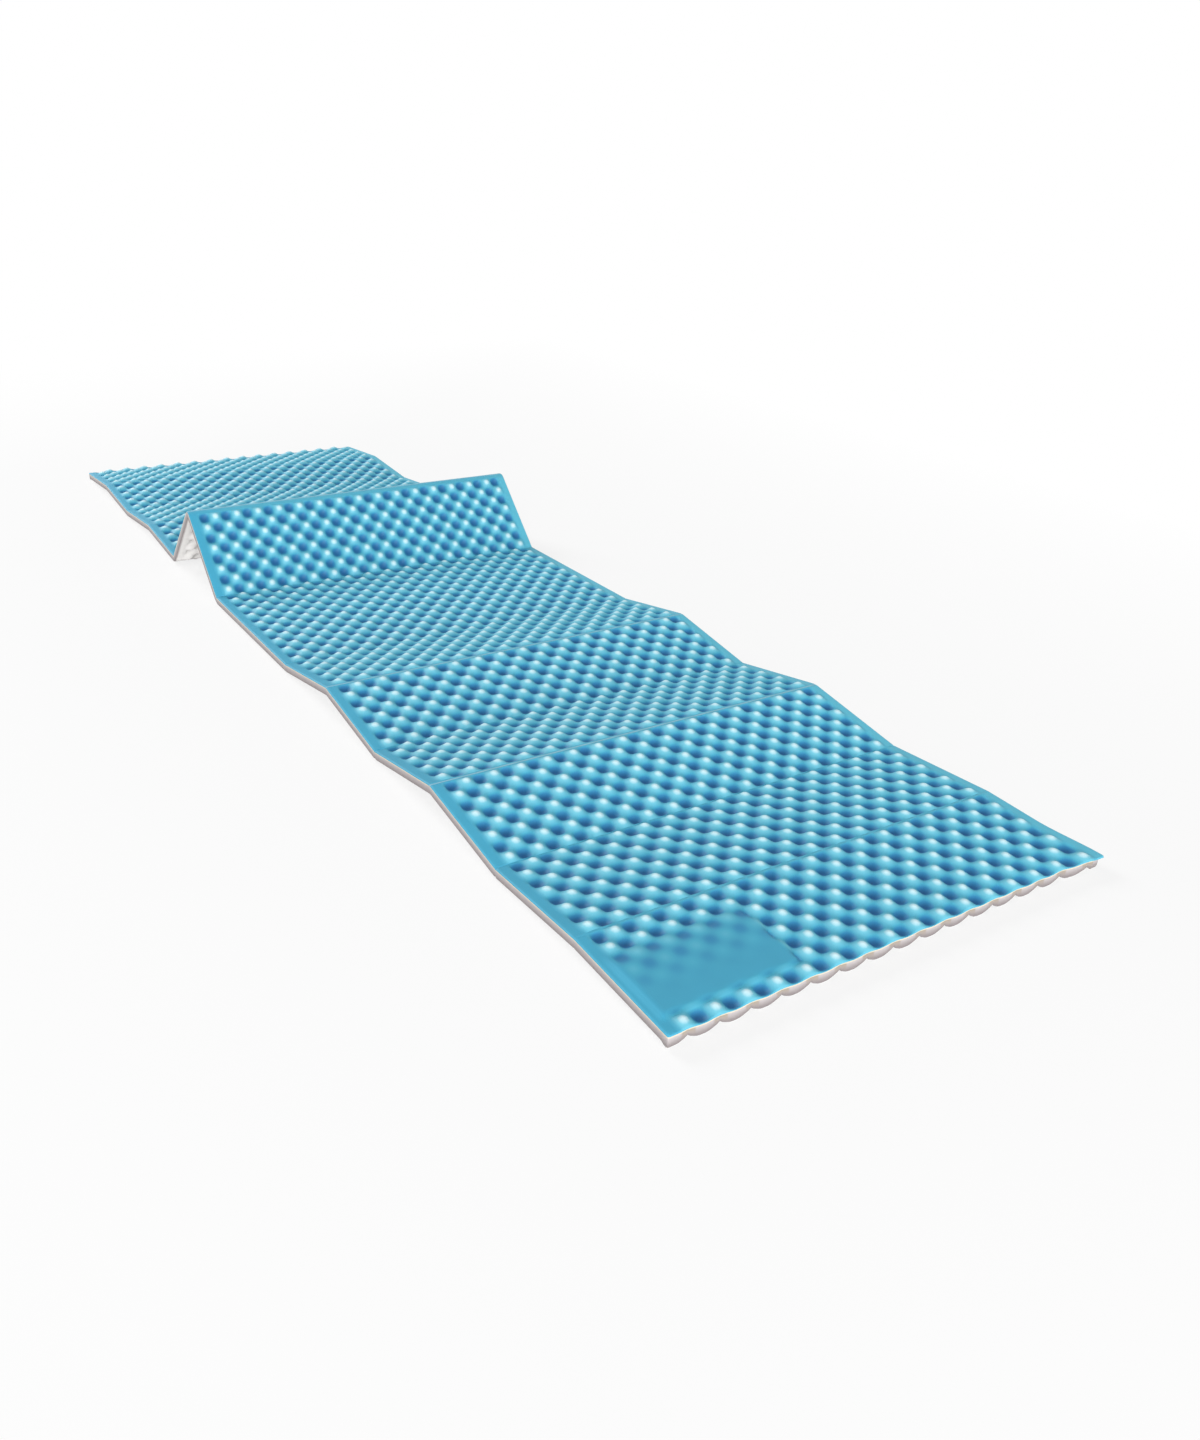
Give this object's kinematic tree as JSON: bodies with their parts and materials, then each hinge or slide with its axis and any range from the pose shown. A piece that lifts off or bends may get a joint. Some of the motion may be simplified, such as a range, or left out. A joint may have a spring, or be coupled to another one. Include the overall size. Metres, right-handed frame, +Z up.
{
  "type": "folding foam sleeping pad",
  "caption": "Accordion-fold closed-cell foam sleeping pad with egg-crate panels on live creases; it folds to a block, and stands part folded with one pair of panels propped up.",
  "frame": {"origin": "on the floor, at the centre of the pad's footprint as it stands part folded", "axes": "+X across the pad, +Y along it from the front edge to the rear edge, +Z up out of the top face"},
  "size_m": [0.51, 1.8036, 0.1073],
  "materials": {
    "blue_foam": "closed-cell polyethylene foam with a smooth satin skin, blue",
    "grey_foam": "denser closed-cell polyethylene foam with a smooth satin skin, pale warm grey"
  },
  "bodies": {
    "panel_01": {"panel_01_top": "blue_foam", "panel_01_base": "grey_foam"},
    "panel_02": {"panel_02_top": "blue_foam", "panel_02_base": "grey_foam", "crease_01": "grey_foam"},
    "panel_03": {"panel_03_top": "blue_foam", "panel_03_base": "grey_foam", "crease_02": "blue_foam"},
    "panel_04": {"panel_04_top": "blue_foam", "panel_04_base": "grey_foam", "crease_03": "grey_foam"},
    "panel_05": {"panel_05_top": "blue_foam", "panel_05_base": "grey_foam", "crease_04": "blue_foam"},
    "panel_06": {"panel_06_top": "blue_foam", "panel_06_base": "grey_foam", "crease_05": "grey_foam"},
    "panel_07": {"panel_07_top": "blue_foam", "panel_07_base": "grey_foam", "crease_07": "grey_foam"},
    "panel_08": {"panel_08_top": "blue_foam", "panel_08_base": "grey_foam", "crease_08": "blue_foam"},
    "panel_09": {"panel_09_top": "blue_foam", "panel_09_base": "grey_foam", "crease_09": "grey_foam"},
    "panel_10": {"panel_10_top": "blue_foam", "panel_10_base": "grey_foam", "crease_10": "blue_foam"},
    "panel_11": {"panel_11_top": "blue_foam", "panel_11_base": "grey_foam", "crease_11": "grey_foam"},
    "panel_12": {"panel_12_top": "blue_foam", "panel_12_base": "grey_foam", "crease_12": "blue_foam"},
    "panel_13": {"panel_13_top": "blue_foam", "panel_13_base": "grey_foam", "crease_13": "grey_foam"},
    "panel_14": {"panel_14_top": "blue_foam", "panel_14_base": "grey_foam"},
    "crease_06": {"crease_06": "blue_foam"}
  },
  "joints": [
    {"name": "fold_06_front", "type": "hinge", "parent": "crease_06", "child": "panel_06", "pos_m": [0, -0.10388, 0.0155], "axis": [-1, 0, 0], "range_deg": [0, 79.6]},
    {"name": "fold_06_rear", "type": "hinge", "parent": "crease_06", "child": "panel_07", "pos_m": [0, -0.10388, 0.0155], "axis": [1, 0, 0], "range_deg": [0, 89]},
    {"name": "fold_05", "type": "hinge", "parent": "panel_06", "child": "panel_05", "pos_m": [0, -0.23689, 0.02637], "axis": [1, 0, 0], "range_deg": [0, 159.2]},
    {"name": "fold_04", "type": "hinge", "parent": "panel_05", "child": "panel_04", "pos_m": [0, -0.3699, 0.0155], "axis": [-1, 0, 0], "range_deg": [0, 158.9]},
    {"name": "fold_03", "type": "hinge", "parent": "panel_04", "child": "panel_03", "pos_m": [0, -0.50285, 0.02707], "axis": [1, 0, 0], "range_deg": [0, 158.6]},
    {"name": "fold_02", "type": "hinge", "parent": "panel_03", "child": "panel_02", "pos_m": [0, -0.6358, 0.0155], "axis": [-1, 0, 0], "range_deg": [0, 165.5]},
    {"name": "fold_01", "type": "hinge", "parent": "panel_02", "child": "panel_01", "pos_m": [0, -0.76918, 0.01101], "axis": [1, 0, 0], "range_deg": [0, 172.4]},
    {"name": "fold_07", "type": "hinge", "parent": "panel_07", "child": "panel_08", "pos_m": [0, 0.02912, 0.0045], "axis": [-1, 0, 0], "range_deg": [0, 178]},
    {"name": "fold_08", "type": "hinge", "parent": "panel_08", "child": "panel_09", "pos_m": [0, 0.16212, 0.0155], "axis": [1, 0, 0], "range_deg": [0, 134]},
    {"name": "fold_09", "type": "hinge", "parent": "panel_09", "child": "panel_10", "pos_m": [0, 0.26543, 0.09998], "axis": [-1, 0, 0], "range_deg": [0, 90]},
    {"name": "fold_10", "type": "hinge", "parent": "panel_10", "child": "panel_11", "pos_m": [0, 0.36875, 0.0155], "axis": [1, 0, 0], "range_deg": [0, 129]},
    {"name": "fold_11", "type": "hinge", "parent": "panel_11", "child": "panel_12", "pos_m": [0, 0.5022, 0.01613], "axis": [-1, 0, 0], "range_deg": [0, 168]},
    {"name": "fold_12", "type": "hinge", "parent": "panel_12", "child": "panel_13", "pos_m": [0, 0.63565, 0.0155], "axis": [1, 0, 0], "range_deg": [0, 168.5]},
    {"name": "fold_13", "type": "hinge", "parent": "panel_13", "child": "panel_14", "pos_m": [0, 0.76911, 0.01497], "axis": [-1, 0, 0], "range_deg": [0, 169]}
  ],
  "couplings": [
    {"joint": "fold_06_front", "follows": "fold_07", "ratio": 0.44719},
    {"joint": "fold_06_rear", "follows": "fold_07", "ratio": 0.5},
    {"joint": "fold_05", "follows": "fold_07", "ratio": 0.89438},
    {"joint": "fold_04", "follows": "fold_07", "ratio": 0.8927},
    {"joint": "fold_03", "follows": "fold_07", "ratio": 0.89101},
    {"joint": "fold_02", "follows": "fold_07", "ratio": 0.92978},
    {"joint": "fold_01", "follows": "fold_07", "ratio": 0.96854},
    {"joint": "fold_08", "follows": "fold_07", "ratio": 0.75281},
    {"joint": "fold_09", "follows": "fold_07", "ratio": 0.50562},
    {"joint": "fold_10", "follows": "fold_07", "ratio": 0.72472},
    {"joint": "fold_11", "follows": "fold_07", "ratio": 0.94382},
    {"joint": "fold_12", "follows": "fold_07", "ratio": 0.94663},
    {"joint": "fold_13", "follows": "fold_07", "ratio": 0.94944}
  ]
}
